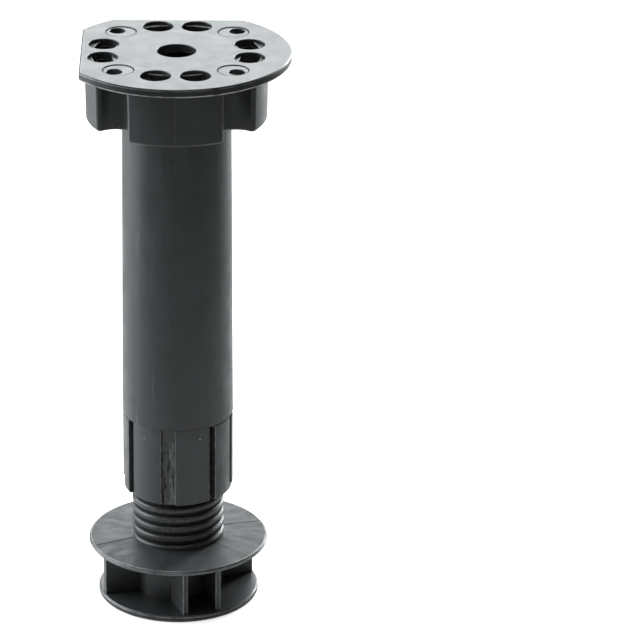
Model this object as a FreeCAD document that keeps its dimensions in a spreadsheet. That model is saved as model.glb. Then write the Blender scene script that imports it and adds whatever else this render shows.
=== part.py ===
import FreeCAD, Part
import os
import Sketcher

# Adjustable cabinet leg in three mouldings: a mounting plate with a socket, a hollow leg tube
# whose collar holds the inside thread, and a foot on a hollow threaded spindle.
# Millimetres, +Z up, origin on the leg's axis at the floor, the leg's front towards -Y.

doc = FreeCAD.newDocument("CabinetLeg")
sizes = doc.addObject("Spreadsheet::Sheet", "Sizes")

DRIVING_SIZES = (
    # Foot
    ("lower_disc_radius", "22", "disc that stands on the floor"),
    ("lower_disc_thickness", "1.9", ""),
    ("disc_gap", "13.4", "clear height between the two discs"),
    ("upper_disc_radius", "24.56", ""),
    ("upper_disc_rim", "1.4", "thickness of the upper disc at its rim"),
    ("upper_disc_rise", "0.6", "slope of the upper disc's top from rim to spindle"),
    ("disc_edge_bevel", "0.45", "edges of both discs"),
    ("hub_radius", "12.2", "drum between the discs"),
    ("hub_waist_radius", "9.7", "drum between the ribs of a pair"),
    ("hub_bore_radius", "7.4", ""),
    ("foot_floor", "2.4", "thickness under the hub's bore"),
    ("rib_offset", "4.67", "middle of a paired rib from the foot's middle plane"),
    ("rib_root", "2.1", "paired rib at the hub"),
    ("rib_tip", "1.45", "paired rib at its outer end"),
    ("rib_reach", "20.9", "outer ends of the paired ribs, from the axis"),
    ("side_rib", "2", "thickness of the ribs in the parting plane"),
    ("side_rib_reach", "21.4", ""),
    ("foot_angle", "19.1", "how far the foot is turned about the axis at rest"),
    # Spindle and thread
    ("spindle_length", "39", "above the upper disc"),
    ("spindle_bore_radius", "9.5", ""),
    ("spindle_chamfer", "0.8", ""),
    ("thread_radius", "12.55", "crest of the spindle's thread"),
    ("thread_depth", "0.95", ""),
    ("thread_ridge", "2.1", "width of the ridge at its foot"),
    ("thread_crest", "0.9", "width of the ridge at its crest"),
    ("thread_pitch", "2.85", "right-hand"),
    ("thread_sink", "0.9", "first turn's middle below the upper disc's top"),
    ("thread_start", "94", "where the first turn starts, in degrees about the axis"),
    ("thread_clearance", "0.2", "between the two threads, square to their faces"),
    ("thread_overlap", "0.3", "how far a thread's section reaches past the core"),
    # Leg tube
    ("exposed_thread", "14.4", "from the upper disc to the collar at rest"),
    ("collar_length", "22.55", ""),
    ("tube_length", "101.25", "smooth part, from the collar to the top end"),
    ("tube_radius", "15.09", "at the smooth part's lower edge"),
    ("tube_draft", "0.345", "taper of the smooth part in degrees"),
    ("tube_bore_radius", "12.9", ""),
    ("tube_edge_bevel", "0.3", ""),
    ("collar_edge_round", "1", "lower edge of the collar's pads"),
    ("collar_radius", "14.75", "the two pads of the collar"),
    ("collar_thread", "20", "threaded length of the collar"),
    ("thread_lead_in", "1.2", "cone between the thread and the tube's bore"),
    ("panel_radius", "13.9", "the two sunk panels of the collar"),
    ("panel_angle", "104.6", "between the middles of a panel's two slits"),
    ("slit_width", "1.2", ""),
    ("slit_margin", "0.6", "solid stretch above the slits"),
    ("seam_groove_angle", "16", "shallow groove down the middle of a panel"),
    ("seam_groove_depth", "0.4", ""),
    ("seam_rib", "1.6", "width of the rib down the middle of a pad"),
    ("seam_rib_proud", "0.4", ""),
    ("seam_rib_margin", "2", "pad left bare below the rib"),
    ("tube_angle", "-10.4", "how far the tube is turned about the axis at rest"),
    # Mounting plate
    ("tube_end_gap", "0.2", "between the tube's top end and the plate"),
    ("plate_radius", "30.5", ""),
    ("plate_thickness", "2.3", ""),
    ("plate_edge_bevel", "0.35", ""),
    ("left_flat", "25.3", "from the axis"),
    ("back_flat", "24.9", "from the axis"),
    ("centre_hole_radius", "5.15", ""),
    ("core_hole_radius", "4.05", "the eight holes over the lobes"),
    ("core_hole_circle", "20", "radius of the circle through their middles"),
    ("core_hole_angle", "15", "each hole of a pair from its lobe's middle"),
    ("core_ledge", "0.8", "depth of the ledges where walls cross a core hole"),
    ("screw_spacing", "32", ""),
    ("screw_hole_radius", "2.1", ""),
    ("screw_mark_radius", "4", "shallow round mark about each screw hole"),
    ("screw_mark_inset", "1", "mark's middle nearer to the axis in X and Y"),
    ("screw_mark_depth", "0.15", ""),
    ("screw_room_radius", "5", "hollow in the skirt for a screw's head and driver"),
    ("skirt_height", "16.05", ""),
    ("skirt_radius", "24.35", "at the plate"),
    ("skirt_draft", "1", "degrees"),
    ("skirt_wall", "2", "outer wall of a lobe"),
    ("skirt_corner_round", "1.2", "upright corners of the lobes"),
    ("skirt_edge_round", "0.8", "lower edge of the lobes"),
    ("screw_room_wall", "1.4", "between a screw's room and the lobes beside it"),
    ("lobe_rib", "1.2", "rib across each lobe"),
    ("socket_wall", "2.4", ""),
    ("socket_clearance", "0.2", "around the tube"),
    # Sketches that run past a surface
    ("fuse_overlap", "1.2", "how far a rib reaches into the wall that carries it"),
    ("cut_overrun", "1.2", "how far a cut runs past the surface"),
)
LOBES = 4
HALVES = 2
SAME_PLACE = 1e-4

for row, (alias, number, meaning) in enumerate(DRIVING_SIZES, start=1):
    sizes.set(f"A{row}", number)
    sizes.setAlias(f"A{row}", alias)
    sizes.set(f"B{row}", meaning)
doc.recompute()

# Heights above the floor, stacked from the foot to the plate
UPPER_DISC_UNDERSIDE = "(Sizes.lower_disc_thickness + Sizes.disc_gap)"
UPPER_DISC_RIM_TOP = f"({UPPER_DISC_UNDERSIDE} + Sizes.upper_disc_rim)"
UPPER_DISC_TOP = f"({UPPER_DISC_RIM_TOP} + Sizes.upper_disc_rise)"
SPINDLE_TOP = f"({UPPER_DISC_TOP} + Sizes.spindle_length)"
COLLAR_BOTTOM = f"({UPPER_DISC_TOP} + Sizes.exposed_thread)"
COLLAR_THREAD_TOP = f"({COLLAR_BOTTOM} + Sizes.collar_thread)"
COLLAR_TOP = f"({COLLAR_BOTTOM} + Sizes.collar_length)"
TUBE_TOP = f"({COLLAR_TOP} + Sizes.tube_length)"
PLATE_UNDERSIDE = f"({TUBE_TOP} + Sizes.tube_end_gap)"
PLATE_TOP = f"({PLATE_UNDERSIDE} + Sizes.plate_thickness)"
SKIRT_BOTTOM = f"({PLATE_UNDERSIDE} - Sizes.skirt_height)"

# Thread: a ridge with sloping flanks, and the same section grown by the clearance
THREAD_FIRST_TURN = f"({UPPER_DISC_TOP} - Sizes.thread_sink)"
THREAD_CORE = "(Sizes.thread_radius - Sizes.thread_depth)"
FLANK_SLOPE = "((Sizes.thread_ridge - Sizes.thread_crest) / 2 / Sizes.thread_depth)"
COLLAR_BORE = f"({THREAD_CORE} + Sizes.thread_clearance)"
COLLAR_THREAD_START = f"({COLLAR_BOTTOM} - Sizes.thread_pitch)"
TUBE_SLOPE = "tan(Sizes.tube_draft * 1 deg)"


def tube_radius_at(height):
    return f"(Sizes.tube_radius - {TUBE_SLOPE} * ({height} - {COLLAR_TOP}))"


SOCKET_TOP_RADIUS = f"({tube_radius_at(PLATE_UNDERSIDE)} + Sizes.socket_clearance)"
SOCKET_BOTTOM_RADIUS = f"({tube_radius_at(SKIRT_BOTTOM)} + Sizes.socket_clearance)"
SOCKET_OUTER_RADIUS = f"({SOCKET_BOTTOM_RADIUS} + Sizes.socket_wall)"


def value_of(formula):
    return float(sizes.evalExpression(formula))


def new_body(label):
    body = doc.addObject("PartDesign::Body", label)
    body.Label = label
    return body


def origin_feature(body, role):
    return next(feature for feature in body.Origin.OriginFeatures if feature.Role == role)


def new_sketch(body, name, plane, height=None, turn=None):
    sketch = body.newObject("Sketcher::SketchObject", name)
    sketch.AttachmentSupport = [(origin_feature(body, plane), "")]
    sketch.MapMode = "FlatFace"
    if height:
        sketch.setExpression("AttachmentOffset.Base.z", height)
    if turn:
        upright = FreeCAD.Vector(0, 0, 1) if plane == "XY_Plane" else FreeCAD.Vector(0, 1, 0)
        sketch.AttachmentOffset = FreeCAD.Placement(
            sketch.AttachmentOffset.Base, FreeCAD.Rotation(upright, value_of(turn))
        )
        sketch.setExpression("AttachmentOffset.Rotation.Angle", turn)
    return sketch


def bind(sketch, kind, *args):
    # The last argument is the formula that drives the new constraint.
    *place, formula = args
    number = sketch.addConstraint(Sketcher.Constraint(kind, *place, value_of(formula)))
    sketch.setExpression(f"Constraints[{number}]", formula)


def pin_point(sketch, geometry, end, x_formula, y_formula):
    origin = (-1, 1)
    bind(sketch, "DistanceX", *origin, geometry, end, x_formula)
    bind(sketch, "DistanceY", *origin, geometry, end, y_formula)


def add_circle(sketch, x_formula, y_formula, radius_formula):
    middle = FreeCAD.Vector(value_of(x_formula), value_of(y_formula), 0)
    circle = Part.Circle(middle, FreeCAD.Vector(0, 0, 1), value_of(radius_formula))
    number = sketch.addGeometry(circle)
    pin_point(sketch, number, 3, x_formula, y_formula)
    bind(sketch, "Radius", number, radius_formula)


def add_outline(sketch, corners):
    points = [FreeCAD.Vector(value_of(x), value_of(y), 0) for x, y in corners]
    first = sketch.GeometryCount
    for start, end in zip(points, points[1:] + points[:1]):
        sketch.addGeometry(Part.LineSegment(start, end))
    count = len(points)
    for side in range(count):
        following = first + (side + 1) % count
        sketch.addConstraint(Sketcher.Constraint("Coincident", first + side, 2, following, 1))
    for side, (x, y) in enumerate(corners):
        pin_point(sketch, first + side, 1, x, y)


def add_rectangle(sketch, left, right, low, high):
    add_outline(sketch, [(left, low), (right, low), (right, high), (left, high)])


def add_arc(sketch, middle, radius_formula, start, end):
    # Counter-clockwise from start to end, both given as points.
    centre = FreeCAD.Vector(value_of(middle[0]), value_of(middle[1]), 0)
    circle = Part.Circle(centre, FreeCAD.Vector(0, 0, 1), value_of(radius_formula))
    arc = Part.ArcOfCircle(circle, circle.parameter(start), circle.parameter(end))
    number = sketch.addGeometry(arc)
    pin_point(sketch, number, 3, *middle)
    bind(sketch, "Radius", number, radius_formula)
    return number


def join_ends(sketch, *ends):
    for (geometry, end), (other, other_end) in ends:
        sketch.addConstraint(Sketcher.Constraint("Coincident", geometry, end, other, other_end))


def finish(body, feature):
    body.Tip = feature
    doc.recompute()
    return feature


def extrude(body, kind, sketch, name, length, upwards, taper=None):
    feature = body.newObject(kind, name)
    feature.Profile = sketch
    feature.setExpression("Length", length)
    pad = kind == "PartDesign::Pad"
    feature.Reversed = upwards != pad
    if taper:
        feature.setExpression("TaperAngle", taper)
    sketch.Visibility = False
    return finish(body, feature)


def pad_up(body, sketch, name, length):
    return extrude(body, "PartDesign::Pad", sketch, name, length, upwards=True)


def pocket_down(body, sketch, name, length):
    return extrude(body, "PartDesign::Pocket", sketch, name, length, upwards=False)


def pocket_up(body, sketch, name, length):
    return extrude(body, "PartDesign::Pocket", sketch, name, length, upwards=True)


def turn_about_axis(body, kind, sketch, name, angle=None):
    # A full turn, or an angle shared out to both sides of the sketch.
    feature = body.newObject(kind, name)
    feature.Profile = sketch
    feature.ReferenceAxis = (sketch, ["V_Axis"])
    if angle:
        feature.Midplane = True
        feature.setExpression("Angle", angle)
    return finish(body, feature)


def repeat_around(body, feature, count):
    pattern = body.newObject("PartDesign::PolarPattern", feature.Name + "Around")
    pattern.Originals = [feature]
    pattern.Axis = (origin_feature(body, "Z_Axis"), [""])
    pattern.Angle = 360
    pattern.Occurrences = count
    return finish(body, pattern)


def dress_edges(body, kind, name, size_name, size_formula, wanted):
    base = body.Tip
    edges = [
        f"Edge{number}" for number, edge in enumerate(base.Shape.Edges, start=1) if wanted(edge)
    ]
    dressed = body.newObject(kind, name)
    dressed.Base = (base, edges)
    dressed.setExpression(size_name, size_formula)
    return finish(body, dressed)


def bevel_edges(body, name, width, wanted):
    return dress_edges(body, "PartDesign::Chamfer", name, "Size", width, wanted)


def round_edges(body, name, radius, wanted):
    return dress_edges(body, "PartDesign::Fillet", name, "Radius", radius, wanted)


def edge_at(*heights):
    levels = [value_of(height) for height in heights]

    def lies_there(edge):
        low = edge.BoundBox.ZMin
        high = edge.BoundBox.ZMax
        return any(max(abs(low - level), abs(high - level)) < SAME_PLACE for level in levels)

    return lies_there


def ring_of(*radii):
    wanted = [value_of(radius) for radius in radii]

    def is_one(edge):
        if not isinstance(edge.Curve, Part.Circle):
            return False
        return any(abs(edge.Curve.Radius - radius) < SAME_PLACE for radius in wanted)

    return is_one


def add_thread_section(sketch, height, inner, outer, clearance="0"):
    # The ridge between two distances from the axis, grown on its flanks by the clearance.
    grown = f"Sizes.thread_crest / 2 + {clearance} * sqrt(1 + {FLANK_SLOPE}^2)"
    at_inner = f"({grown} + (Sizes.thread_radius - ({inner})) * {FLANK_SLOPE})"
    at_outer = f"({grown} + (Sizes.thread_radius - ({outer})) * {FLANK_SLOPE})"
    add_outline(sketch, [
        (inner, f"{height} - {at_inner}"),
        (outer, f"{height} - {at_outer}"),
        (outer, f"{height} + {at_outer}"),
        (inner, f"{height} + {at_inner}"),
    ])


def cut_or_raise_thread(body, kind, sketch, name, length):
    helix = body.newObject(kind, name)
    helix.Profile = sketch
    helix.ReferenceAxis = (sketch, ["V_Axis"])
    helix.Mode = "pitch-height-angle"
    helix.setExpression("Pitch", "Sizes.thread_pitch")
    helix.setExpression("Height", length)
    helix.Angle = 0
    helix.LeftHanded = False
    helix.Reversed = False
    return finish(body, helix)


def make_foot():
    body = new_body("foot")

    section = new_sketch(body, "FootSection", "XZ_Plane")
    bore_step = f"({UPPER_DISC_TOP} - Sizes.upper_disc_rise)"
    add_outline(section, [
        ("0", "0"),
        ("Sizes.lower_disc_radius", "0"),
        ("Sizes.lower_disc_radius", "Sizes.lower_disc_thickness"),
        ("Sizes.hub_waist_radius", "Sizes.lower_disc_thickness"),
        ("Sizes.hub_waist_radius", UPPER_DISC_UNDERSIDE),
        ("Sizes.upper_disc_radius", UPPER_DISC_UNDERSIDE),
        ("Sizes.upper_disc_radius", UPPER_DISC_RIM_TOP),
        (THREAD_CORE, UPPER_DISC_TOP),
        (THREAD_CORE, f"{SPINDLE_TOP} - Sizes.spindle_chamfer"),
        (f"{THREAD_CORE} - Sizes.spindle_chamfer", SPINDLE_TOP),
        ("Sizes.spindle_bore_radius", SPINDLE_TOP),
        ("Sizes.spindle_bore_radius", bore_step),
        ("Sizes.hub_bore_radius", bore_step),
        ("Sizes.hub_bore_radius", "Sizes.foot_floor"),
        ("0", "Sizes.foot_floor"),
    ])
    turn_about_axis(body, "PartDesign::Revolution", section, "FootTurned")

    bevel_edges(body, "DiscEdges", "Sizes.disc_edge_bevel",
                ring_of("Sizes.upper_disc_radius", "Sizes.lower_disc_radius"))

    # The drum is full width beside the paired ribs: a circle's segment on each side
    drum = new_sketch(body, "DrumSection", "XY_Plane", "Sizes.lower_disc_thickness")
    half_chord = "sqrt(Sizes.hub_radius^2 - Sizes.rib_offset^2)"
    low = FreeCAD.Vector(value_of("Sizes.rib_offset"), -value_of(half_chord), 0)
    high = FreeCAD.Vector(value_of("Sizes.rib_offset"), value_of(half_chord), 0)
    arc = add_arc(drum, ("0", "0"), "Sizes.hub_radius", low, high)
    chord = drum.addGeometry(Part.LineSegment(high, low))
    join_ends(drum, ((arc, 2), (chord, 1)), ((chord, 2), (arc, 1)))
    drum.addConstraint(Sketcher.Constraint("Vertical", chord))
    bind(drum, "DistanceX", -1, 1, chord, 1, "Sizes.rib_offset")
    segment = pad_up(body, drum, "Drum", "Sizes.disc_gap")
    repeat_around(body, segment, HALVES)

    # Paired ribs, thinner at their outer ends
    rib_root_y = "-(Sizes.hub_waist_radius - Sizes.fuse_overlap)"
    rib_tip_y = "-sqrt(Sizes.rib_reach^2 - Sizes.rib_offset^2)"
    pair = new_sketch(body, "RibPair", "XY_Plane", "Sizes.lower_disc_thickness")
    for side in ("", "-"):
        middle = f"{side}Sizes.rib_offset"
        add_outline(pair, [
            (f"{middle} - Sizes.rib_tip / 2", rib_tip_y),
            (f"{middle} + Sizes.rib_tip / 2", rib_tip_y),
            (f"{middle} + Sizes.rib_root / 2", rib_root_y),
            (f"{middle} - Sizes.rib_root / 2", rib_root_y),
        ])
    ribs = pad_up(body, pair, "PairedRibs", "Sizes.disc_gap")
    repeat_around(body, ribs, HALVES)

    # Ribs in the parting plane
    side_sketch = new_sketch(body, "SideRib", "XY_Plane", "Sizes.lower_disc_thickness")
    add_rectangle(side_sketch, "Sizes.hub_radius - Sizes.fuse_overlap", "Sizes.side_rib_reach",
                  "-Sizes.side_rib / 2", "Sizes.side_rib / 2")
    side_rib = pad_up(body, side_sketch, "SideRibs", "Sizes.disc_gap")
    repeat_around(body, side_rib, HALVES)

    # Thread on the spindle
    thread = new_sketch(body, "SpindleThread", "XZ_Plane", turn="Sizes.thread_start")
    add_thread_section(thread, THREAD_FIRST_TURN, f"{THREAD_CORE} - Sizes.thread_overlap",
                       "Sizes.thread_radius")
    cut_or_raise_thread(body, "PartDesign::AdditiveHelix", thread, "Thread",
                        f"{SPINDLE_TOP} - Sizes.thread_pitch - {THREAD_FIRST_TURN}")

    body.Placement.Rotation = FreeCAD.Rotation(FreeCAD.Vector(0, 0, 1), value_of("Sizes.foot_angle"))
    body.setExpression("Placement.Rotation.Angle", "Sizes.foot_angle")
    return body


def make_leg_tube():
    body = new_body("leg_tube")

    section = new_sketch(body, "TubeSection", "XZ_Plane")
    add_outline(section, [
        (COLLAR_BORE, COLLAR_BOTTOM),
        ("Sizes.collar_radius", COLLAR_BOTTOM),
        ("Sizes.collar_radius", COLLAR_TOP),
        ("Sizes.tube_radius", COLLAR_TOP),
        (tube_radius_at(TUBE_TOP), TUBE_TOP),
        ("Sizes.tube_bore_radius", TUBE_TOP),
        ("Sizes.tube_bore_radius", f"{COLLAR_THREAD_TOP} + Sizes.thread_lead_in"),
        (COLLAR_BORE, COLLAR_THREAD_TOP),
    ])
    turn_about_axis(body, "PartDesign::Revolution", section, "TubeTurned")
    bevel_edges(body, "TubeEdges", "Sizes.tube_edge_bevel",
                ring_of("Sizes.tube_radius", tube_radius_at(TUBE_TOP)))
    is_pad = ring_of("Sizes.collar_radius")
    is_low = edge_at(COLLAR_BOTTOM)
    round_edges(body, "CollarEdge", "Sizes.collar_edge_round", lambda edge: is_pad(edge) and is_low(edge))

    # Two sunk panels with a shallow groove down the middle of each
    below = f"{COLLAR_BOTTOM} - Sizes.cut_overrun"
    outside = "Sizes.tube_radius + Sizes.cut_overrun"
    panel = new_sketch(body, "PanelSection", "YZ_Plane")
    add_rectangle(panel, "Sizes.panel_radius", outside, below, COLLAR_TOP)
    panels = turn_about_axis(body, "PartDesign::Groove", panel, "Panel", "Sizes.panel_angle")
    repeat_around(body, panels, HALVES)
    groove = new_sketch(body, "SeamGrooveSection", "YZ_Plane")
    groove_floor = "Sizes.panel_radius - Sizes.seam_groove_depth"
    add_rectangle(groove, groove_floor, outside, below, COLLAR_TOP)
    grooves = turn_about_axis(body, "PartDesign::Groove", groove, "SeamGroove", "Sizes.seam_groove_angle")
    repeat_around(body, grooves, HALVES)

    # A slit on each side of a panel, right through the wall
    for name, turn in (("LeftSlit", "Sizes.panel_angle / 2"), ("RightSlit", "-Sizes.panel_angle / 2")):
        slit = new_sketch(body, name + "Section", "XY_Plane", COLLAR_BOTTOM, turn)
        add_rectangle(slit, "-Sizes.slit_width / 2", "Sizes.slit_width / 2",
                      f"{COLLAR_BORE} - Sizes.cut_overrun", outside)
        slits = pocket_up(body, slit, name, "Sizes.collar_length - Sizes.slit_margin")
        repeat_around(body, slits, HALVES)

    # A rib down the middle of each pad
    seam = new_sketch(body, "SeamRibSection", "XY_Plane", f"{COLLAR_BOTTOM} + Sizes.seam_rib_margin")
    add_rectangle(seam, "Sizes.collar_radius - Sizes.fuse_overlap",
                  "Sizes.collar_radius + Sizes.seam_rib_proud", "-Sizes.seam_rib / 2", "Sizes.seam_rib / 2")
    seam_ribs = pad_up(body, seam, "SeamRib", "Sizes.collar_length - Sizes.seam_rib_margin")
    repeat_around(body, seam_ribs, HALVES)

    # Inside thread on the same helix as the spindle's
    turns_up = f"({COLLAR_THREAD_START} - {THREAD_FIRST_TURN}) / Sizes.thread_pitch"
    start = f"Sizes.foot_angle + Sizes.thread_start + 360 * {turns_up} - Sizes.tube_angle"
    thread = new_sketch(body, "CollarThread", "XZ_Plane", turn=start)
    add_thread_section(thread, COLLAR_THREAD_START, f"{COLLAR_BORE} - Sizes.thread_overlap",
                       "Sizes.thread_radius + Sizes.thread_clearance", "Sizes.thread_clearance")
    cut_or_raise_thread(body, "PartDesign::SubtractiveHelix", thread, "InsideThread",
                        "Sizes.collar_thread + 2 * Sizes.thread_pitch")

    body.Placement.Rotation = FreeCAD.Rotation(FreeCAD.Vector(0, 0, 1), value_of("Sizes.tube_angle"))
    body.setExpression("Placement.Rotation.Angle", "Sizes.tube_angle")
    return body


def where_circles_meet(middle, radius, about_axis, side):
    # side 1 is to the left of the line from the axis to the circle's middle, -1 to its right.
    away = middle.Length
    along = (about_axis**2 + away**2 - radius**2) / (2 * away)
    across = side * (about_axis**2 - along**2) ** 0.5
    outwards = middle * (1 / away)
    return outwards * along + FreeCAD.Vector(-outwards.y, outwards.x, 0) * across


def add_ring_sector(sketch, inner, outer, low_side, high_side):
    # An outline between two circles about the axis. Each side is a circle's middle, its radius and
    # the side on which it meets them, and whether its arc runs inwards when taken counter-clockwise.
    axis = ("0", "0")
    ends = []
    for middle, radius, side, inwards in (low_side, high_side):
        place = FreeCAD.Vector(value_of(middle[0]), value_of(middle[1]), 0)
        at_inner = where_circles_meet(place, value_of(radius), value_of(inner), side)
        at_outer = where_circles_meet(place, value_of(radius), value_of(outer), side)
        points = (at_outer, at_inner) if inwards else (at_inner, at_outer)
        arc = add_arc(sketch, middle, radius, *points)
        inner_end, outer_end = (2, 1) if inwards else (1, 2)
        ends.append((at_inner, at_outer, (arc, inner_end), (arc, outer_end)))
    low, high = ends
    inner_arc = add_arc(sketch, axis, inner, low[0], high[0])
    outer_arc = add_arc(sketch, axis, outer, low[1], high[1])
    join_ends(
        sketch,
        ((inner_arc, 1), low[2]),
        ((inner_arc, 2), high[2]),
        ((outer_arc, 1), low[3]),
        ((outer_arc, 2), high[3]),
    )


def make_mounting_plate():
    body = new_body("mounting_plate")
    screw = "Sizes.screw_spacing / 2"
    signs = [(x, y) for x in ("", "-") for y in ("", "-")]
    corners = [(f"{x}{screw}", f"{y}{screw}") for x, y in signs]

    # Skirt: a drafted drum with room for the screws, hollowed between its walls
    drum = new_sketch(body, "SkirtOutline", "XY_Plane", PLATE_UNDERSIDE)
    add_circle(drum, "0", "0", "Sizes.skirt_radius")
    extrude(body, "PartDesign::Pad", drum, "Skirt", "Sizes.skirt_height", False, "-Sizes.skirt_draft")
    rooms = new_sketch(body, "ScrewRoomOutline", "XY_Plane", PLATE_UNDERSIDE)
    for x, y in corners:
        add_circle(rooms, x, y, "Sizes.screw_room_radius")
    pocket_down(body, rooms, "ScrewRooms", "Sizes.skirt_height")
    room_radius = value_of("Sizes.screw_room_radius")
    lobe_outside = "(Sizes.skirt_radius - Sizes.skirt_wall)"

    def on_lobe_corner(edge):
        point = edge.Vertexes[0].Point
        from_screw = FreeCAD.Vector(abs(point.x) - value_of(screw), abs(point.y) - value_of(screw), 0)
        beside_room = abs(from_screw.Length - room_radius) < SAME_PLACE
        from_axis = (point.x**2 + point.y**2) ** 0.5
        upright = edge.BoundBox.ZLength > value_of("Sizes.skirt_height") / 2
        return upright and beside_room and from_axis > value_of(lobe_outside)

    round_edges(body, "LobeCorners", "Sizes.skirt_corner_round", on_lobe_corner)
    round_edges(body, "SkirtEdge", "Sizes.skirt_edge_round", edge_at(SKIRT_BOTTOM))

    # Hollow lobes with a rib across the middle of each
    lobe_inside = SOCKET_OUTER_RADIUS
    room_wall = "Sizes.screw_room_radius + Sizes.screw_room_wall"
    lobe = new_sketch(body, "LobeHollowOutline", "XY_Plane", PLATE_UNDERSIDE)
    add_ring_sector(lobe, lobe_inside, lobe_outside,
                    ((screw, f"-{screw}"), room_wall, 1, True), ((screw, screw), room_wall, -1, False))
    hollow = pocket_down(body, lobe, "LobeHollow", "Sizes.skirt_height")
    repeat_around(body, hollow, LOBES)
    rib = new_sketch(body, "LobeRibOutline", "XY_Plane", SKIRT_BOTTOM)
    add_rectangle(rib, f"{lobe_inside} - Sizes.socket_wall / 2", f"{lobe_outside} + Sizes.skirt_wall / 2",
                  "-Sizes.lobe_rib / 2", "Sizes.lobe_rib / 2")
    lobe_ribs = pad_up(body, rib, "LobeRib", "Sizes.skirt_height")
    repeat_around(body, lobe_ribs, LOBES)

    # Plate: a disc with a flat on the left and one at the back
    disc = new_sketch(body, "PlateOutline", "XY_Plane", PLATE_UNDERSIDE)
    radius = value_of("Sizes.plate_radius")
    left = -value_of("Sizes.left_flat")
    back = value_of("Sizes.back_flat")
    left_front = FreeCAD.Vector(left, -((radius**2 - left**2) ** 0.5), 0)
    left_back = FreeCAD.Vector(left, (radius**2 - left**2) ** 0.5, 0)
    back_left = FreeCAD.Vector(-((radius**2 - back**2) ** 0.5), back, 0)
    back_right = FreeCAD.Vector((radius**2 - back**2) ** 0.5, back, 0)
    front_arc = add_arc(disc, ("0", "0"), "Sizes.plate_radius", left_front, back_right)
    corner_arc = add_arc(disc, ("0", "0"), "Sizes.plate_radius", back_left, left_back)
    back_line = disc.addGeometry(Part.LineSegment(back_right, back_left))
    left_line = disc.addGeometry(Part.LineSegment(left_back, left_front))
    join_ends(
        disc,
        ((front_arc, 2), (back_line, 1)),
        ((back_line, 2), (corner_arc, 1)),
        ((corner_arc, 2), (left_line, 1)),
        ((left_line, 2), (front_arc, 1)),
    )
    disc.addConstraint(Sketcher.Constraint("Horizontal", back_line))
    disc.addConstraint(Sketcher.Constraint("Vertical", left_line))
    bind(disc, "DistanceY", -1, 1, back_line, 1, "Sizes.back_flat")
    bind(disc, "DistanceX", -1, 1, left_line, 1, "-Sizes.left_flat")
    pad_up(body, disc, "Plate", "Sizes.plate_thickness")

    skirt_reach = value_of("Sizes.skirt_radius + Sizes.skirt_wall")

    def on_plate_outline(edge):
        on_face = edge_at(PLATE_TOP, PLATE_UNDERSIDE)(edge)
        corner = edge.Vertexes[0].Point
        return on_face and (corner.x**2 + corner.y**2) ** 0.5 > skirt_reach

    bevel_edges(body, "PlateEdges", "Sizes.plate_edge_bevel", on_plate_outline)

    # Socket with the tube's own taper
    socket = new_sketch(body, "SocketSection", "XZ_Plane")
    add_outline(socket, [
        ("0", SKIRT_BOTTOM),
        (SOCKET_BOTTOM_RADIUS, SKIRT_BOTTOM),
        (SOCKET_TOP_RADIUS, PLATE_UNDERSIDE),
        ("0", PLATE_UNDERSIDE),
    ])
    turn_about_axis(body, "PartDesign::Groove", socket, "Socket")

    # Holes through the plate
    marks = new_sketch(body, "ScrewMarkOutline", "XY_Plane", PLATE_TOP)
    mark = f"({screw} - Sizes.screw_mark_inset)"
    for x, y in signs:
        add_circle(marks, f"{x}{mark}", f"{y}{mark}", "Sizes.screw_mark_radius")
    pocket_down(body, marks, "ScrewMarks", "Sizes.screw_mark_depth")
    centre = new_sketch(body, "CentreHoleOutline", "XY_Plane", PLATE_TOP)
    add_circle(centre, "0", "0", "Sizes.centre_hole_radius")
    pocket_down(body, centre, "CentreHole", "Sizes.plate_thickness")
    screws = new_sketch(body, "ScrewHoleOutline", "XY_Plane", PLATE_TOP)
    for x, y in corners:
        add_circle(screws, x, y, "Sizes.screw_hole_radius")
    pocket_down(body, screws, "ScrewHoles", "Sizes.plate_thickness")

    # Core holes: round at the top, and below that clipped by the socket's and the lobe's walls
    core_x = "Sizes.core_hole_circle * cos(Sizes.core_hole_angle * 1 deg)"
    core_y = "Sizes.core_hole_circle * sin(Sizes.core_hole_angle * 1 deg)"
    core_mouths = new_sketch(body, "CoreMouthOutline", "XY_Plane", PLATE_TOP)
    core_shafts = new_sketch(body, "CoreShaftOutline", "XY_Plane", PLATE_TOP)
    for sign in ("", "-"):
        middle = (core_x, sign + core_y)
        add_circle(core_mouths, *middle, "Sizes.core_hole_radius")
        add_ring_sector(core_shafts, lobe_inside, lobe_outside,
                        (middle, "Sizes.core_hole_radius", -1, False),
                        (middle, "Sizes.core_hole_radius", 1, True))
    mouths = pocket_down(body, core_mouths, "CoreMouths", "Sizes.core_ledge")
    repeat_around(body, mouths, LOBES)
    shafts = pocket_down(body, core_shafts, "CoreShafts", "Sizes.plate_thickness")
    repeat_around(body, shafts, LOBES)
    return body


def check_and_export(bodies):
    doc.recompute()
    for item in doc.Objects:
        if "Invalid" in item.State or "Error" in item.State:
            raise RuntimeError(f"{item.Name} failed: {item.State}")
    for body in bodies:
        shape = body.Shape
        if shape.isNull() or not shape.isValid() or len(shape.Solids) != 1:
            raise RuntimeError(f"{body.Label} is not one valid solid")
    os.makedirs("parts", exist_ok=True)
    for body in bodies:
        body.Shape.exportStep(f"parts/{body.Label}.step")
        print(body.Label, "volume", round(body.Shape.Volume, 1), "box", body.Shape.BoundBox)


check_and_export([make_foot(), make_leg_tube(), make_mounting_plate()])
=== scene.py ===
import math

import bmesh
import bpy
from mathutils import Matrix, Vector


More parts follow.
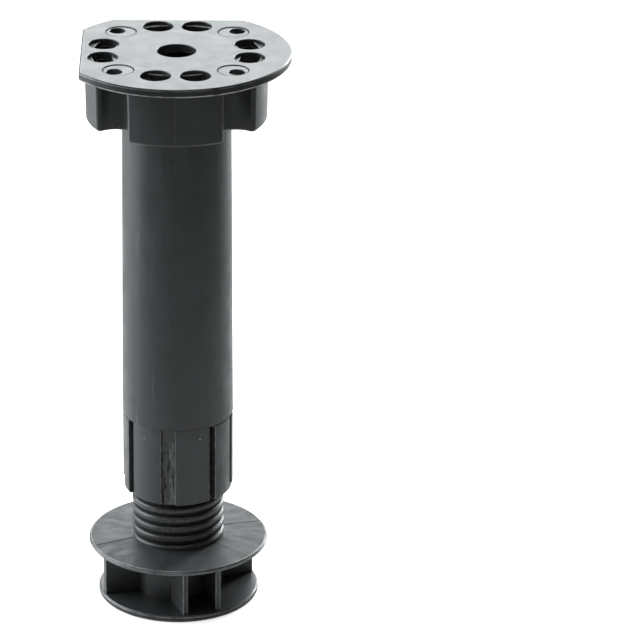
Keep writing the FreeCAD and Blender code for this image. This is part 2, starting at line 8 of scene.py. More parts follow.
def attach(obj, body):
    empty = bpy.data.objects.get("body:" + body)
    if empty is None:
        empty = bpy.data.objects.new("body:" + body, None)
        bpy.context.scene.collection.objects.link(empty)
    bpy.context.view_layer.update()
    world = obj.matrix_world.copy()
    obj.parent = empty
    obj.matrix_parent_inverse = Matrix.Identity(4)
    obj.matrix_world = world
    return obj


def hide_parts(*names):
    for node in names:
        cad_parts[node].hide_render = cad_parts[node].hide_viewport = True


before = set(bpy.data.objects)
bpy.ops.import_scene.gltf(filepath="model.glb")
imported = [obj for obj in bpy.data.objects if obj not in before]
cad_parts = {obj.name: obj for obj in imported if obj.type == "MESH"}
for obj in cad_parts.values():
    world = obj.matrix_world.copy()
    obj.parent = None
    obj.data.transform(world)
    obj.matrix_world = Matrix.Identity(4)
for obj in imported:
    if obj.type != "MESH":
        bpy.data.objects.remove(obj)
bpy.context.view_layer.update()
print("frame loaded:", sorted(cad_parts))

mm = 0.001  # one millimetre in metres


def newTree(name):
    material = bpy.data.materials.new(name)
    material.use_nodes = True
    tree = material.node_tree
    return material, tree, tree.nodes["Principled BSDF"]


def addNode(tree, kind, **values):
    node = tree.nodes.new(kind)
    for key, value in values.items():
        setattr(node, key, value)
    return node


def feed(tree, target, source):
    if isinstance(source, bpy.types.NodeSocket):
        tree.links.new(source, target)
    else:
        target.default_value = source


def calc(tree, operation, first, second=0.0):
    node = addNode(tree, "ShaderNodeMath", operation=operation)
    feed(tree, node.inputs[0], first)
    feed(tree, node.inputs[1], second)
    return node.outputs[0]


def times(tree, first, second):
    return calc(tree, "MULTIPLY", first, second)


def plus(tree, first, second):
    return calc(tree, "ADD", first, second)


def ramp(tree, value, low, high, toLow=0.0, toHigh=1.0):
    node = addNode(tree, "ShaderNodeMapRange", interpolation_type="SMOOTHSTEP")
    feed(tree, node.inputs["Value"], value)
    for key, number in (("From Min", low), ("From Max", high), ("To Min", toLow), ("To Max", toHigh)):
        node.inputs[key].default_value = number
    return node.outputs["Result"]


def noise(tree, vector, scale, detail=3.0, roughness=0.55):
    node = addNode(tree, "ShaderNodeTexNoise")
    feed(tree, node.inputs["Vector"], vector)
    node.inputs["Scale"].default_value = scale
    node.inputs["Detail"].default_value = detail
    node.inputs["Roughness"].default_value = roughness
    return node.outputs["Fac"]


def blend(tree, kind, share, first, second):
    node = addNode(tree, "ShaderNodeMix", data_type=kind)
    feed(tree, node.inputs["Factor"], share)
    feed(tree, node.inputs["A"], first)
    feed(tree, node.inputs["B"], second)
    return node.outputs["Result"]


def blendColours(tree, share, first, second):
    return blend(tree, "RGBA", share, first, second)


def blendValues(tree, share, first, second):
    return blend(tree, "FLOAT", share, first, second)


def polar(tree, place):
    parts = addNode(tree, "ShaderNodeSeparateXYZ")
    feed(tree, parts.inputs[0], place)
    x, y, z = parts.outputs
    radius = calc(tree, "SQRT", plus(tree, times(tree, x, x), times(tree, y, y)))
    return radius, calc(tree, "ARCTAN2", y, x), z


def stretched(tree, place, scale, turn=0.0):
    node = addNode(tree, "ShaderNodeMapping")
    feed(tree, node.inputs["Vector"], place)
    node.inputs["Scale"].default_value = scale
    node.inputs["Rotation"].default_value = (0, 0, turn)
    return node.outputs["Vector"]


def vectorOf(tree, x=0.0, y=0.0, z=0.0):
    node = addNode(tree, "ShaderNodeCombineXYZ")
    for socket, source in zip(node.inputs, (x, y, z)):
        feed(tree, socket, source)
    return node.outputs[0]


def band(tree, value, middle, halfWidth, soft):  # 1 within the band, 0 outside
    away = calc(tree, "ABSOLUTE", calc(tree, "SUBTRACT", value, middle))
    return ramp(tree, away, halfWidth, halfWidth + soft, 1.0, 0.0)


def specks(tree, place, scale, size, share):  # scattered dots, share = how many cells hold one
    cells = addNode(tree, "ShaderNodeTexVoronoi", feature="F1")
    feed(tree, cells.inputs["Vector"], place)
    cells.inputs["Scale"].default_value = scale
    picked = addNode(tree, "ShaderNodeSeparateColor")
    feed(tree, picked.inputs[0], cells.outputs["Color"])
    chosen = calc(tree, "LESS_THAN", picked.outputs["Red"], share)
    reach = times(tree, picked.outputs["Green"], size)
    return times(tree, chosen, calc(tree, "LESS_THAN", cells.outputs["Distance"], reach))


plasticLook = {
    "dark": (0.027, 0.029, 0.031, 1),
    "light": (0.036, 0.038, 0.041, 1),
    "dust": (0.30, 0.30, 0.30, 1),
    "chip": (0.20, 0.20, 0.20, 1),
    "scuff": (0.075, 0.077, 0.080, 1),
    # light grey painted onto rounded edges as their highlight
    "paintedEdgeHighlight": (0.50, 0.505, 0.51, 1),
    "roughLow": 0.33,
    "roughHigh": 0.46,
    "grain": 0.020 * mm,
    # near black painted as shade: thread valleys, screw-mark rings, the plate's rim, the groove's edge,
    # torn flash and under the tube's shoulder
    "paintedShade": (0.004, 0.004, 0.005, 1),
    "grooveFloor": 13.5 * mm,
    "grooveEdge": math.radians(-90 - 10.4 - 8),
    "collarTop": 54.2 * mm,
    "collarStart": (13.2 * mm, 13.3 * mm),
    "tornEnd": (50 * mm, 51 * mm),
    "ringCentre": 15 * mm,
    "ringRadius": 4.1 * mm,
    "seamTurn": math.radians(19.1),  # the mould's parting line over the foot
    "seamColour": (0.008, 0.008, 0.008, 1),
    "discTop": 17.0 * mm,
    "discStart": (12.4 * mm, 13.2 * mm),  # radii where the disc begins beside the spindle
    "threadStart": (18 * mm, 19 * mm),  # heights
    "threadCrest": (12.2 * mm, 12.5 * mm),
    "threadPast": (12.7 * mm, 12.8 * mm),
    "valleyStart": (17.3 * mm, 17.8 * mm),
    "valleyEnd": (11.7 * mm, 12.25 * mm),
    "plateTop": 158 * mm,
    "rimMiddle": 156.7 * mm,
    "rimStart": (19 * mm, 20 * mm),
    "lobeTop": (154 * mm, 155 * mm),
    "sinkRadius": 16.0 * mm,
}


def footMarks(tree, place, rough, colour):
    look = plasticLook
    radius, angle, z = polar(tree, place)
    onDisc = times(tree, ramp(tree, radius, *look["discStart"]),
                   band(tree, z, look["discTop"], 0.42 * mm, 0.1 * mm))
    rays = vectorOf(tree, times(tree, angle, 2.2), times(tree, radius, 45.0))
    fan = noise(tree, rays, 3.0, 6, 0.62)
    rough = blendValues(tree, onDisc, rough, ramp(tree, fan, 0.3, 0.7, 0.46, 0.64))
    across = addNode(tree, "ShaderNodeSeparateXYZ")
    feed(tree, across.inputs[0], stretched(tree, place, (1, 1, 1), -look["seamTurn"]))
    line = times(tree, onDisc, band(tree, across.outputs["Y"], 0.0, 0.16 * mm, 0.14 * mm))
    colour = blendColours(tree, times(tree, line, 0.8), colour, look["seamColour"])
    rough = plus(tree, rough, times(tree, line, 0.3))
    notPast = times(tree, ramp(tree, z, *look["threadStart"]),
                    ramp(tree, radius, *look["threadPast"], 1.0, 0.0))
    onThread = times(tree, ramp(tree, radius, *look["threadCrest"]), notPast)
    # painted shade in the thread's valleys above the disc
    valley = times(tree, ramp(tree, z, *look["valleyStart"]),
                   ramp(tree, radius, *look["valleyEnd"], 1.0, 0.0))
    colour = blendColours(tree, valley, colour, look["paintedShade"])
    rough = blendValues(tree, valley, rough, 0.9)
    lightening = times(tree, onThread, ramp(tree, noise(tree, place, 900, 4, 0.7), 0.52, 0.68))
    colour = blendColours(tree, lightening, colour, look["scuff"])
    chips = times(tree, onThread, specks(tree, place, 700, 0.22, 0.16))
    colour = blendColours(tree, chips, colour, look["chip"])
    return rough, colour, times(tree, line, -0.05 * mm)


def plateMarks(tree, place, rough, colour):
    look = plasticLook
    radius, _, z = polar(tree, place)
    onTop = band(tree, z, look["plateTop"], 0.2 * mm, 0.05 * mm)
    sink = times(tree, onTop, band(tree, radius, look["sinkRadius"], 0.2 * mm, 1.6 * mm))
    parts = addNode(tree, "ShaderNodeSeparateXYZ")
    feed(tree, parts.inputs[0], place)
    sideways = [calc(tree, "SUBTRACT", calc(tree, "ABSOLUTE", parts.outputs[axis]), look["ringCentre"])
                for axis in "XY"]
    fromRing = calc(tree, "SQRT", plus(tree, *(times(tree, way, way) for way in sideways)))
    # painted shade in the sunk ring of each screw mark
    ring = times(tree, onTop, band(tree, fromRing, look["ringRadius"], 0.10 * mm, 0.14 * mm))
    colour = blendColours(tree, times(tree, ring, 0.85), colour, look["paintedShade"])
    # painted shade on the plate's rim
    rim = times(tree, band(tree, z, look["rimMiddle"], 0.8 * mm, 0.2 * mm),
                ramp(tree, radius, *look["rimStart"]))
    colour = blendColours(tree, times(tree, rim, 0.7), colour, look["paintedShade"])
    rough = plus(tree, rough, times(tree, rim, 0.15))
    seam = times(tree, band(tree, parts.outputs["X"], 0.0, 0.05 * mm, 0.12 * mm),
                 ramp(tree, z, *look["lobeTop"], 1.0, 0.0))
    colour = blendColours(tree, times(tree, seam, 0.5), colour, look["scuff"])
    swirl = noise(tree, place, 220, 6, 0.65)
    rough = blendValues(tree, onTop, rough, ramp(tree, swirl, 0.25, 0.75, 0.34, 0.42))
    rough = plus(tree, rough, times(tree, ring, 0.4))
    relief = plus(tree, times(tree, sink, -0.035 * mm), times(tree, ring, -0.08 * mm))
    return rough, colour, relief


def tubeMarks(tree, place, rough, colour):
    look = plasticLook
    drag = noise(tree, stretched(tree, place, (1, 1, 0.03)), 1500, 3)
    rough = plus(tree, rough, ramp(tree, drag, 0.35, 0.65, -0.02, 0.03))
    streaks = noise(tree, stretched(tree, place, (1, 1, 0.2)), 260, 5, 0.62)
    rough = plus(tree, rough, ramp(tree, streaks, 0.3, 0.7, -0.07, 0.07))
    colour = blendColours(tree, ramp(tree, streaks, 0.5, 0.75, 0.0, 0.22), colour, look["scuff"])
    scratched = noise(tree, stretched(tree, place, (1, 1, 0.12), 0.3), 420, 2, 0.4)
    scratches = ramp(tree, scratched, 0.70, 0.74)
    colour = blendColours(tree, times(tree, scratches, 0.5), colour, look["scuff"])
    radius, angle, z = polar(tree, place)
    inGroove = ramp(tree, radius, look["grooveFloor"], look["grooveFloor"] + 0.3 * mm, 1.0, 0.0)
    onCollar = ramp(tree, z, look["collarTop"], look["collarTop"] + 0.2 * mm, 1.0, 0.0)
    onCollar = times(tree, onCollar, ramp(tree, radius, *look["collarStart"]))
    onFloor = times(tree, inGroove, onCollar)
    fromEdge = calc(tree, "SUBTRACT", angle, look["grooveEdge"])
    half = calc(tree, "PINGPONG", fromEdge, math.pi)  # the same on both sides
    # painted shade along the groove's edge on the collar
    wall = times(tree, onFloor, ramp(tree, half, 0.0, 0.035, 1.0, 0.0))
    # painted shadow on the collar just under the tube's shoulder
    shoulder = ramp(tree, z, look["collarTop"] - 0.7 * mm, look["collarTop"] - 0.2 * mm)
    under = times(tree, onCollar, shoulder)
    # dark streaks where the flash is torn: painted shade, with a small dent in the bump
    tornZone = times(tree, onFloor, ramp(tree, z, *look["tornEnd"], 1.0, 0.0))
    tearing = noise(tree, stretched(tree, place, (1, 1, 0.16)), 1500, 4, 0.6)
    torn = times(tree, tornZone, ramp(tree, tearing, 0.54, 0.60))
    # all three darken towards the painted-shade colour
    dark = calc(tree, "MAXIMUM", wall, calc(tree, "MAXIMUM", times(tree, under, 0.8), torn))
    colour = blendColours(tree, times(tree, dark, 0.9), colour, look["paintedShade"])
    return plus(tree, rough, times(tree, dark, 0.5)), colour, times(tree, torn, -0.10 * mm)


def mouldedPlastic(name, marks, lightening=0.0):
    look = plasticLook
    material, tree, shader = newTree(name)
    place = addNode(tree, "ShaderNodeTexCoord").outputs["Object"]
    clouds = noise(tree, place, 70, 4)
    colour = blendColours(tree, ramp(tree, clouds, 0.3, 0.7), look["dark"], look["light"])
    rough = ramp(tree, noise(tree, place, 160, 5), 0.3, 0.7, look["roughLow"], look["roughHigh"])
    rough, colour, relief = marks(tree, place, rough, colour)
    # painted highlight: lighter patches on the second material's rounded edges, strong on the rim's
    # lower edge and faint on the plate's top
    if lightening:
        _, _, z = polar(tree, place)
        paintedHighlight = ramp(tree, noise(tree, place, 260, 5), 0.25, 0.6, 0.0, lightening)
        paintedHighlight = times(tree, paintedHighlight, ramp(tree, z, look["rimMiddle"], look["plateTop"], 1.0, 0.06))
        colour = blendColours(tree, paintedHighlight, colour, look["paintedEdgeHighlight"])
        rough = times(tree, rough, 0.8)
    colour = blendColours(tree, specks(tree, place, 330, 0.10, 0.10), colour, look["dust"])
    feed(tree, shader.inputs["Base Color"], colour)
    feed(tree, shader.inputs["Roughness"], rough)
    grain = times(tree, noise(tree, place, 2200, 3), look["grain"])
    bump = addNode(tree, "ShaderNodeBump")
    bump.inputs["Strength"].default_value = 1.0
    bump.inputs["Distance"].default_value = 1.0
    feed(tree, bump.inputs["Height"], plus(tree, grain, relief))
    feed(tree, shader.inputs["Normal"], bump.outputs["Normal"])
    return material


skinSettings = {
    "weld": 0.002 * mm,
    "flatAngle": math.radians(0.4),
    "sharpAngle": math.radians(32),
    "reachShare": 0.30,  # widest rounding as a share of the narrowest face beside the edge
    "segments": 3,
    "bend": math.radians(13),  # between two faces of a rounded corner
    "skirt": (19 * mm, 139 * mm, 155.5 * mm),  # least radius and heights of the lobes' rounded corners, which take the painted edge highlight
    # the share after the marks sets how strongly each node's rounded edges take the painted highlight
    "mounting_plate": {"width": 0.22 * mm, "cuts": (0, 15, 45, 75, 90, 105, 135, 165),  # degrees
                       "marks": plateMarks, "edgeHighlightShare": 1.0, "slot": "plate_plastic"},
    "leg_tube": {"width": 0.18 * mm, "cuts": (9.6, 54.6, 99.6, 144.6),
                 "marks": tubeMarks, "edgeHighlightShare": 0.4, "slot": "tube_plastic"},
    "foot": {"width": 0.22 * mm, "cuts": (64.1, 109.1, 154.1),
             "marks": footMarks, "edgeHighlightShare": 0.4, "slot": "foot_plastic"},
    "leftSharp": (  # radii and heights
        (11.0 * mm, 13.0 * mm, 17.0 * mm, 56.0 * mm),  # the threads
        (20.5 * mm, 21.8 * mm, 1.8 * mm, 2.0 * mm),  # the rib ends by the rim
        (13.0 * mm, 15.2 * mm, 54.2 * mm, 54.7 * mm),  # the tube's shoulder
    ),
}
plastics = {}


def faceReach(edge, face):  # how far a face runs away from one of its edges
    start = edge.verts[0].co
    line = (edge.verts[1].co - start).normalized()
    return max((corner.co - start).cross(line).length for corner in face.verts)


def staysSharp(edge):
    middle = (edge.verts[0].co + edge.verts[1].co) / 2
    radius = math.hypot(middle.x, middle.y)
    return any(inner < radius < outer and low < middle.z < high
               for inner, outer, low, high in skinSettings["leftSharp"])


def onSkirt(face):
    middle = face.calc_center_median()
    inner, low, high = skinSettings["skirt"]
    return math.hypot(middle.x, middle.y) > inner and low < middle.z < high


def cutLevelFaces(shape, angle):  # parts the level faces, so that none keeps a hole in it
    level = [face for face in shape.faces if abs(face.normal.z) > 0.9999]
    around = {part for face in level for part in (*face.verts, *face.edges)}
    across = Vector((-math.sin(angle), math.cos(angle), 0))
    made = bmesh.ops.bisect_plane(shape, geom=[*around, *level], dist=skinSettings["weld"],
                                  plane_co=(0, 0, 0), plane_no=across)
    for part in made["geom_cut"]:
        if isinstance(part, bmesh.types.BMEdge):
            part.seam = True


def plainMesh(piece):  # bakes the modifiers into the mesh
    graph = bpy.context.evaluated_depsgraph_get()
    baked = bpy.data.meshes.new_from_object(piece.evaluated_get(graph))
    piece.modifiers.clear()
    piece.data = baked


def makeSkin(nodeName):
    settings = skinSettings[nodeName]
    width, marks, slotName = settings["width"], settings["marks"], settings["slot"]
    shape = bmesh.new()
    shape.from_mesh(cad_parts[nodeName].data)
    bmesh.ops.remove_doubles(shape, verts=shape.verts, dist=skinSettings["weld"])
    for angle in settings["cuts"]:
        cutLevelFaces(shape, math.radians(angle))
    bmesh.ops.dissolve_limit(shape, angle_limit=skinSettings["flatAngle"], verts=shape.verts,
                             edges=shape.edges, delimit={"SEAM"})
    weights = shape.edges.layers.float.new("bevel_weight_edge")
    for edge in shape.edges:
        if edge.calc_face_angle(0) < skinSettings["sharpAngle"]:
            continue
        if staysSharp(edge) or not edge.is_convex:
            edge.smooth = False
        else:
            narrow = min(faceReach(edge, face) for face in edge.link_faces)
            edge[weights] = min(1.0, narrow * skinSettings["reachShare"] / width)
    for face in shape.faces:
        face.smooth = True
        bends = sum(skinSettings["bend"] < edge.calc_face_angle(0) < skinSettings["sharpAngle"]
                    for edge in face.edges)
        # the lobes' rounded corners take the second material, the painted edge highlight
        if bends >= 2 and onSkirt(face):
            face.material_index = 1
    mesh = bpy.data.meshes.new(nodeName + "Skin")
    shape.to_mesh(mesh)
    shape.free()
    if "custom_normal" in mesh.attributes:
        mesh.attributes.remove(mesh.attributes["custom_normal"])
    plastics[nodeName] = mouldedPlastic(nodeName + "Plastic", marks)
    # second material: the plastic with the painted edge highlight
    highlitEdges = mouldedPlastic(nodeName + "WornEdges", marks, settings["edgeHighlightShare"])
    mesh.materials.clear()
    for material in (plastics[nodeName], highlitEdges):
        mesh.materials.append(material)
    skin = bpy.data.objects.new(nodeName + "Skin", mesh)
    bpy.context.scene.collection.objects.link(skin)
    bevel = skin.modifiers.new("softEdges", "BEVEL")
    bevel.limit_method = "WEIGHT"
    bevel.width = width
    bevel.segments = skinSettings["segments"]
    bevel.use_clamp_overlap = False
    bevel.loop_slide = False
    # bevel faces take the painted edge highlight material
    bevel.material = 1
    normals = skin.modifiers.new("evenNormals", "WEIGHTED_NORMAL")
    normals.weight = 80
    normals.keep_sharp = True
    plainMesh(skin)
    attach(skin, nodeName)
    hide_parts(nodeName)
    print(nodeName, "skin:", len(skin.data.polygons), "faces")


for nodeName in ("mounting_plate", "leg_tube", "foot"):
    makeSkin(nodeName)


def newGroup(name, inputs):
    group = bpy.data.node_groups.new(name, "GeometryNodeTree")
    for label, (kind, value) in inputs.items():
        socket = group.interface.new_socket(label, in_out="INPUT", socket_type="NodeSocket" + kind)
        socket.default_value = value
    group.interface.new_socket("Geometry", in_out="OUTPUT", socket_type="NodeSocketGeometry")
    return group, addNode(group, "NodeGroupInput"), addNode(group, "NodeGroupOutput")


def outputOf(node, kind):
    return next(socket for socket in node.outputs if socket.type == kind)


def closeGroup(group, leave, geometry, material):
    realized = addNode(group, "GeometryNodeRealizeInstances")
    feed(group, realized.inputs[0], geometry)
    painted = addNode(group, "GeometryNodeSetMaterial")
    painted.inputs["Material"].default_value = material
    feed(group, painted.inputs["Geometry"], realized.outputs[0])
    feed(group, leave.inputs["Geometry"], painted.outputs[0])


def grownPiece(name, group, values, bodyName):  # runs the tree and keeps its plain mesh
    piece = bpy.data.objects.new(name, bpy.data.meshes.new(name))
    bpy.context.scene.collection.objects.link(piece)
    modifier = piece.modifiers.new("grow", "NODES")
    modifier.node_group = group
    for item in group.interface.items_tree:
        if item.in_out == "INPUT" and item.name in values:
            modifier[item.identifier] = values[item.name]
    plainMesh(piece)
    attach(piece, bodyName)
    print(name + ":", len(piece.data.polygons), "faces")


threadSettings = {
    "Turns": 13.0,
    "Pitch": 2.85 * mm,
    "Centre radius": 11.56 * mm,
    "Bead radius": 1.06 * mm,
    "First height": 16.4 * mm,  # below the disc's top, where the ridge starts
    "First angle": math.radians(94 + 19.1),
    "Wobble": 0.05 * mm,
}


def makeThreadBead():
    group, enter, leave = newGroup("threadBead", {
        "Turns": ("Float", 1.0), "Pitch": ("Float", 0.001), "Centre radius": ("Float", 0.01),
        "Bead radius": ("Float", 0.001), "First height": ("Float", 0.0), "First angle": ("Float", 0.0),
        "Wobble": ("Float", 0.0)})
    given = enter.outputs
    spiral = addNode(group, "GeometryNodeCurveSpiral")
    spiral.inputs["Resolution"].default_value = 96
    spiral.inputs["Reverse"].default_value = True  # right-hand
    feed(group, spiral.inputs["Rotations"], given["Turns"])
    feed(group, spiral.inputs["Start Radius"], given["Centre radius"])
    feed(group, spiral.inputs["End Radius"], given["Centre radius"])
    feed(group, spiral.inputs["Height"], times(group, given["Turns"], given["Pitch"]))
    moved = addNode(group, "GeometryNodeTransform")
    feed(group, moved.inputs["Geometry"], spiral.outputs[0])
    feed(group, moved.inputs["Translation"], vectorOf(group, z=given["First height"]))
    feed(group, moved.inputs["Rotation"], vectorOf(group, z=given["First angle"]))
    uneven = addNode(group, "ShaderNodeTexNoise")
    uneven.inputs["Scale"].default_value = 400
    strength = times(group, calc(group, "SUBTRACT", uneven.outputs["Fac"], 1.0), given["Wobble"])
    ring = addNode(group, "GeometryNodeCurvePrimitiveCircle")
    ring.inputs["Resolution"].default_value = 18
    ring.inputs["Radius"].default_value = 1.0
    bead = addNode(group, "GeometryNodeCurveToMesh")
    feed(group, bead.inputs["Curve"], moved.outputs[0])
    feed(group, bead.inputs["Profile Curve"], ring.outputs[0])
    feed(group, bead.inputs["Scale"], plus(group, given["Bead radius"], strength))
    bead.inputs["Fill Caps"].default_value = True
    smooth = addNode(group, "GeometryNodeSetShadeSmooth")
    feed(group, smooth.inputs["Geometry"], bead.outputs[0])
    closeGroup(group, leave, smooth.outputs[0], plastics["foot"])
    grownPiece("threadBead", group, threadSettings, "foot")


makeThreadBead()

flashSettings = {
    "Low": Vector((0, 0, 31.9 * mm)),
    "High": Vector((0, 0, 50.5 * mm)),
    "Radius": 13.52 * mm,
    "Angle": math.radians(-96.0),
    "Spread": math.radians(1.6),  # between two strands
    "Thickness": 0.13 * mm,
    "Wander": 0.30 * mm,
    "Seed": 7,
}


def makeSeamFlash():
    group, enter, leave = newGroup("seamFlash", {
        "Low": ("Vector", (0, 0, 0)), "High": ("Vector", (0, 0, 0.01)), "Radius": ("Float", 0.01),
        "Angle": ("Float", 0.0), "Spread": ("Float", 0.02), "Thickness": ("Float", 0.0001),
        "Wander": ("Float", 0.0001), "Seed": ("Int", 0)})
    given = enter.outputs
    line = addNode(group, "GeometryNodeCurvePrimitiveLine")
    feed(group, line.inputs["Start"], given["Low"])
    feed(group, line.inputs["End"], given["High"])
    fine = addNode(group, "GeometryNodeResampleCurve")
    feed(group, fine.inputs["Curve"], line.outputs[0])
    fine.inputs["Count"].default_value = 90
    strands = addNode(group, "GeometryNodeDuplicateElements", domain="SPLINE")
    feed(group, strands.inputs["Geometry"], fine.outputs[0])
    strands.inputs["Amount"].default_value = 4
    number = strands.outputs["Duplicate Index"]
    place = addNode(group, "GeometryNodeInputPosition").outputs[0]
    parts = addNode(group, "ShaderNodeSeparateXYZ")
    feed(group, parts.inputs[0], place)
    along = vectorOf(group, times(group, number, 3.7), given["Seed"], parts.outputs["Z"])
    ragged = addNode(group, "ShaderNodeTexNoise")
    feed(group, ragged.inputs["Vector"], along)
    ragged.inputs["Scale"].default_value = 420
    ragged.inputs["Detail"].default_value = 4
    slow = addNode(group, "ShaderNodeTexNoise")
    feed(group, slow.inputs["Vector"], along)
    slow.inputs["Scale"].default_value = 120
    sway = times(group, calc(group, "SUBTRACT", slow.outputs["Fac"], 0.5), given["Wander"])
    swing = calc(group, "DIVIDE", sway, given["Radius"])
    apart = times(group, calc(group, "SUBTRACT", number, 1.5), given["Spread"])
    turn = plus(group, given["Angle"], plus(group, swing, apart))
    onWall = vectorOf(group, times(group, given["Radius"], calc(group, "COSINE", turn)),
                        times(group, given["Radius"], calc(group, "SINE", turn)), parts.outputs["Z"])
    bent = addNode(group, "GeometryNodeSetPosition")
    feed(group, bent.inputs["Geometry"], strands.outputs["Geometry"])
    feed(group, bent.inputs["Position"], onWall)
    ring = addNode(group, "GeometryNodeCurvePrimitiveCircle")
    ring.inputs["Resolution"].default_value = 8
    ring.inputs["Radius"].default_value = 1.0
    torn = ramp(group, ragged.outputs["Fac"], 0.38, 0.66, 0.5, 1.2)
    strip = addNode(group, "GeometryNodeCurveToMesh")
    feed(group, strip.inputs["Curve"], bent.outputs[0])
    feed(group, strip.inputs["Profile Curve"], ring.outputs[0])
    feed(group, strip.inputs["Scale"], times(group, given["Thickness"], torn))
    strip.inputs["Fill Caps"].default_value = True
    # the flash takes the tube's painted-highlight material, so it comes out lighter
    closeGroup(group, leave, strip.outputs[0], bpy.data.materials["leg_tubeWornEdges"])
    grownPiece("seamFlash", group, flashSettings, "leg_tube")


makeSeamFlash()

burrSettings = {
    "Turns": 4.9,
    "Pitch": 2.85 * mm,
    "Crest radius": 12.5 * mm,
    "First height": 16.85 * mm,  # the upper edge of the crest
    "First angle": math.radians(94 + 19.1),
    "Burr size": 0.12 * mm,
    "Share": 0.30,
    "Seed": 4,
}


def makeThreadBurrs():
    group, enter, leave = newGroup("threadBurrs", {
        "Turns": ("Float", 1.0), "Pitch": ("Float", 0.001), "Crest radius": ("Float", 0.01),
        "First height": ("Float", 0.0), "First angle": ("Float", 0.0), "Burr size": ("Float", 0.0001),
        "Share": ("Float", 0.5), "Seed": ("Int", 0)})
    given = enter.outputs
    spiral = addNode(group, "GeometryNodeCurveSpiral")
    spiral.inputs["Resolution"].default_value = 48
    spiral.inputs["Reverse"].default_value = True
    feed(group, spiral.inputs["Rotations"], given["Turns"])
    feed(group, spiral.inputs["Start Radius"], given["Crest radius"])
    feed(group, spiral.inputs["End Radius"], given["Crest radius"])
    feed(group, spiral.inputs["Height"], times(group, given["Turns"], given["Pitch"]))
    moved = addNode(group, "GeometryNodeTransform")
    feed(group, moved.inputs["Geometry"], spiral.outputs[0])
    feed(group, moved.inputs["Translation"], vectorOf(group, z=given["First height"]))
    feed(group, moved.inputs["Rotation"], vectorOf(group, z=given["First angle"]))
    beads = addNode(group, "GeometryNodeCurveToPoints")
    feed(group, beads.inputs["Curve"], moved.outputs[0])
    beads.inputs["Count"].default_value = 260
    chosen = addNode(group, "FunctionNodeRandomValue", data_type="BOOLEAN")
    feed(group, chosen.inputs["Probability"], given["Share"])
    feed(group, chosen.inputs["Seed"], given["Seed"])
    size = addNode(group, "FunctionNodeRandomValue", data_type="FLOAT")
    size.inputs["Min"].default_value = 0.3
    feed(group, size.inputs["Seed"], given["Seed"])
    grain = addNode(group, "GeometryNodeMeshIcoSphere")
    feed(group, grain.inputs["Radius"], given["Burr size"])
    grain.inputs["Subdivisions"].default_value = 2
    spread = addNode(group, "GeometryNodeInstanceOnPoints")
    feed(group, spread.inputs["Points"], beads.outputs["Points"])
    feed(group, spread.inputs["Selection"], outputOf(chosen, "BOOLEAN"))
    feed(group, spread.inputs["Instance"], grain.outputs["Mesh"])
    feed(group, spread.inputs["Scale"], outputOf(size, "VALUE"))
    # the burrs take the foot's painted-highlight material, so they come out lighter
    closeGroup(group, leave, spread.outputs[0], bpy.data.materials["footWornEdges"])
    grownPiece("threadBurrs", group, burrSettings, "foot")


makeThreadBurrs()

floorSettings = {
    "size": 8.0,
    "near": (0.80, 0.80, 0.80, 1),
    "far": (0.36, 0.36, 0.36, 1),
    "fall": (0.13, 0.32),  # distances between which the floor gets darker: a painted pool of light round the object
    "cameraWhite": (0.7, 0.95),  # near and far
}


def makeFloor():
    bpy.ops.mesh.primitive_plane_add(size=floorSettings["size"])
    floor = bpy.context.object
    floor.name = "studioFloor"
    material, tree, shader = newTree("paleFloor")
    radius, _, _ = polar(tree, addNode(tree, "ShaderNodeTexCoord").outputs["Object"])
    away = ramp(tree, radius, *floorSettings["fall"])
    # painted pool of light: brighter floor near the object, darker farther out
    shade = blendColours(tree, away, floorSettings["near"], floorSettings["far"])
    feed(tree, shader.inputs["Base Color"], shade)
    shader.inputs["Roughness"].default_value = 0.9
    shader.inputs["Emission Color"].default_value = (1, 1, 1, 1)
    rays = addNode(tree, "ShaderNodeLightPath")
    white = blendValues(tree, away, *floorSettings["cameraWhite"])
    feed(tree, shader.inputs["Emission Strength"], times(tree, rays.outputs["Is Camera Ray"], white))
    floor.data.materials.append(material)


makeFloor()

studio = {
    "target": Vector((0, 0, 0.085)),
    "ambient": 0.07,
    "tint": (0.95, 0.99, 1.0),  # cool
    "softLeft": (-106, 16, 0.5, 0.5, 0.6, 5.8),  # azimuth, elevation, distance, width, height, radiance
    "stripRight": (141, 12, 0.6, 0.15, 0.6, 18.5),
    "backWall": (180, 27, 1.5, 1.3, 0.8, 5.5),
    "topStrip": (-10, 66, 0.9, 0.7, 0.16, 3.5),
    "frontFill": (12, 5, 0.7, 0.22, 0.2, 1.3),
}


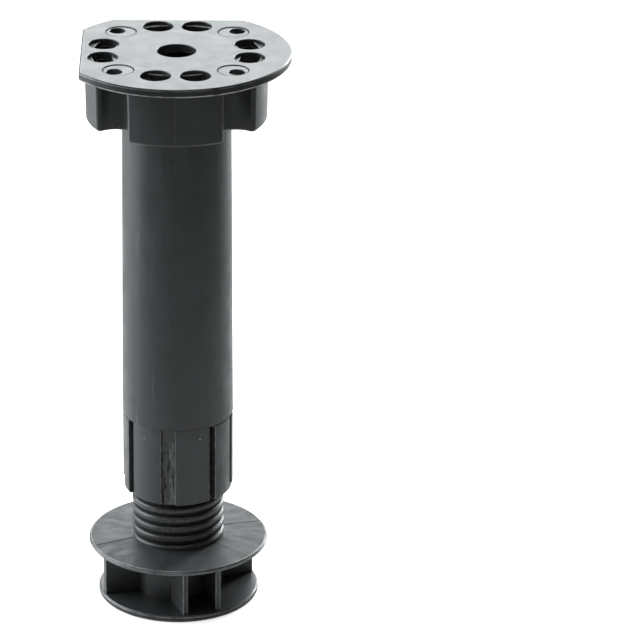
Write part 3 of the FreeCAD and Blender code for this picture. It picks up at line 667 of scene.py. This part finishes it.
def addSoftbox(name, azimuth, elevation, distance, width, height, radiance):
    turn, lift = math.radians(azimuth), math.radians(elevation)
    outwards = Vector((math.sin(turn) * math.cos(lift),
                       -math.cos(turn) * math.cos(lift),
                       math.sin(lift)))
    lamp = bpy.data.lights.new(name, "AREA")
    lamp.shape = "RECTANGLE"
    lamp.color = studio["tint"]
    lamp.size = width
    lamp.size_y = height
    lamp.energy = radiance * width * height * math.pi
    holder = bpy.data.objects.new(name, lamp)
    holder.location = studio["target"] + outwards * distance
    holder.rotation_mode = "QUATERNION"
    holder.rotation_quaternion = (-outwards).to_track_quat("-Z", "Y")
    bpy.context.scene.collection.objects.link(holder)


def lightStudio():
    world = bpy.data.worlds.new("studioWorld")
    world.use_nodes = True
    bpy.context.scene.world = world
    tree = world.node_tree
    background = tree.nodes["Background"]
    background.inputs["Color"].default_value = (1, 1, 1, 1)
    rays = addNode(tree, "ShaderNodeLightPath")
    seen = calc(tree, "MAXIMUM", rays.outputs["Is Camera Ray"], rays.outputs["Is Transmission Ray"])
    strength = calc(tree, "MAXIMUM", seen, studio["ambient"])
    feed(tree, background.inputs["Strength"], strength)
    for name in ("softLeft", "stripRight", "backWall", "topStrip", "frontFill"):
        addSoftbox(name, *studio[name])


lightStudio()

cameraSettings = {
    "place": Vector((16.98, -1105.93, 553.17)) * mm,
    "pitch": math.radians(23.125),  # down
    "yaw": math.radians(1.119),  # towards the right
    "roll": math.radians(0.568),
    "focalPixels": 4440.0,
    "imagePixels": 640,
}


def makeCamera():
    settings = cameraSettings
    camera = bpy.data.cameras.new("photoCamera")
    camera.sensor_width = 36
    camera.lens = settings["focalPixels"] / settings["imagePixels"] * camera.sensor_width
    camera.clip_start, camera.clip_end = 0.05, 30
    ahead = Vector((math.sin(settings["yaw"]) * math.cos(settings["pitch"]),
                    math.cos(settings["yaw"]) * math.cos(settings["pitch"]),
                    -math.sin(settings["pitch"])))
    level = ahead.cross(Vector((0, 0, 1))).normalized()
    upright = level.cross(ahead)
    right = level * math.cos(settings["roll"]) + upright * math.sin(settings["roll"])
    up = right.cross(ahead)
    holder = bpy.data.objects.new("photoCamera", camera)
    turn = Matrix((right, up, -ahead)).transposed()
    holder.matrix_world = Matrix.Translation(settings["place"]) @ turn.to_4x4()
    bpy.context.scene.collection.objects.link(holder)
    bpy.context.scene.camera = holder


makeCamera()
bpy.context.scene.view_settings.view_transform = "Standard"
print("stage, lights and camera done")
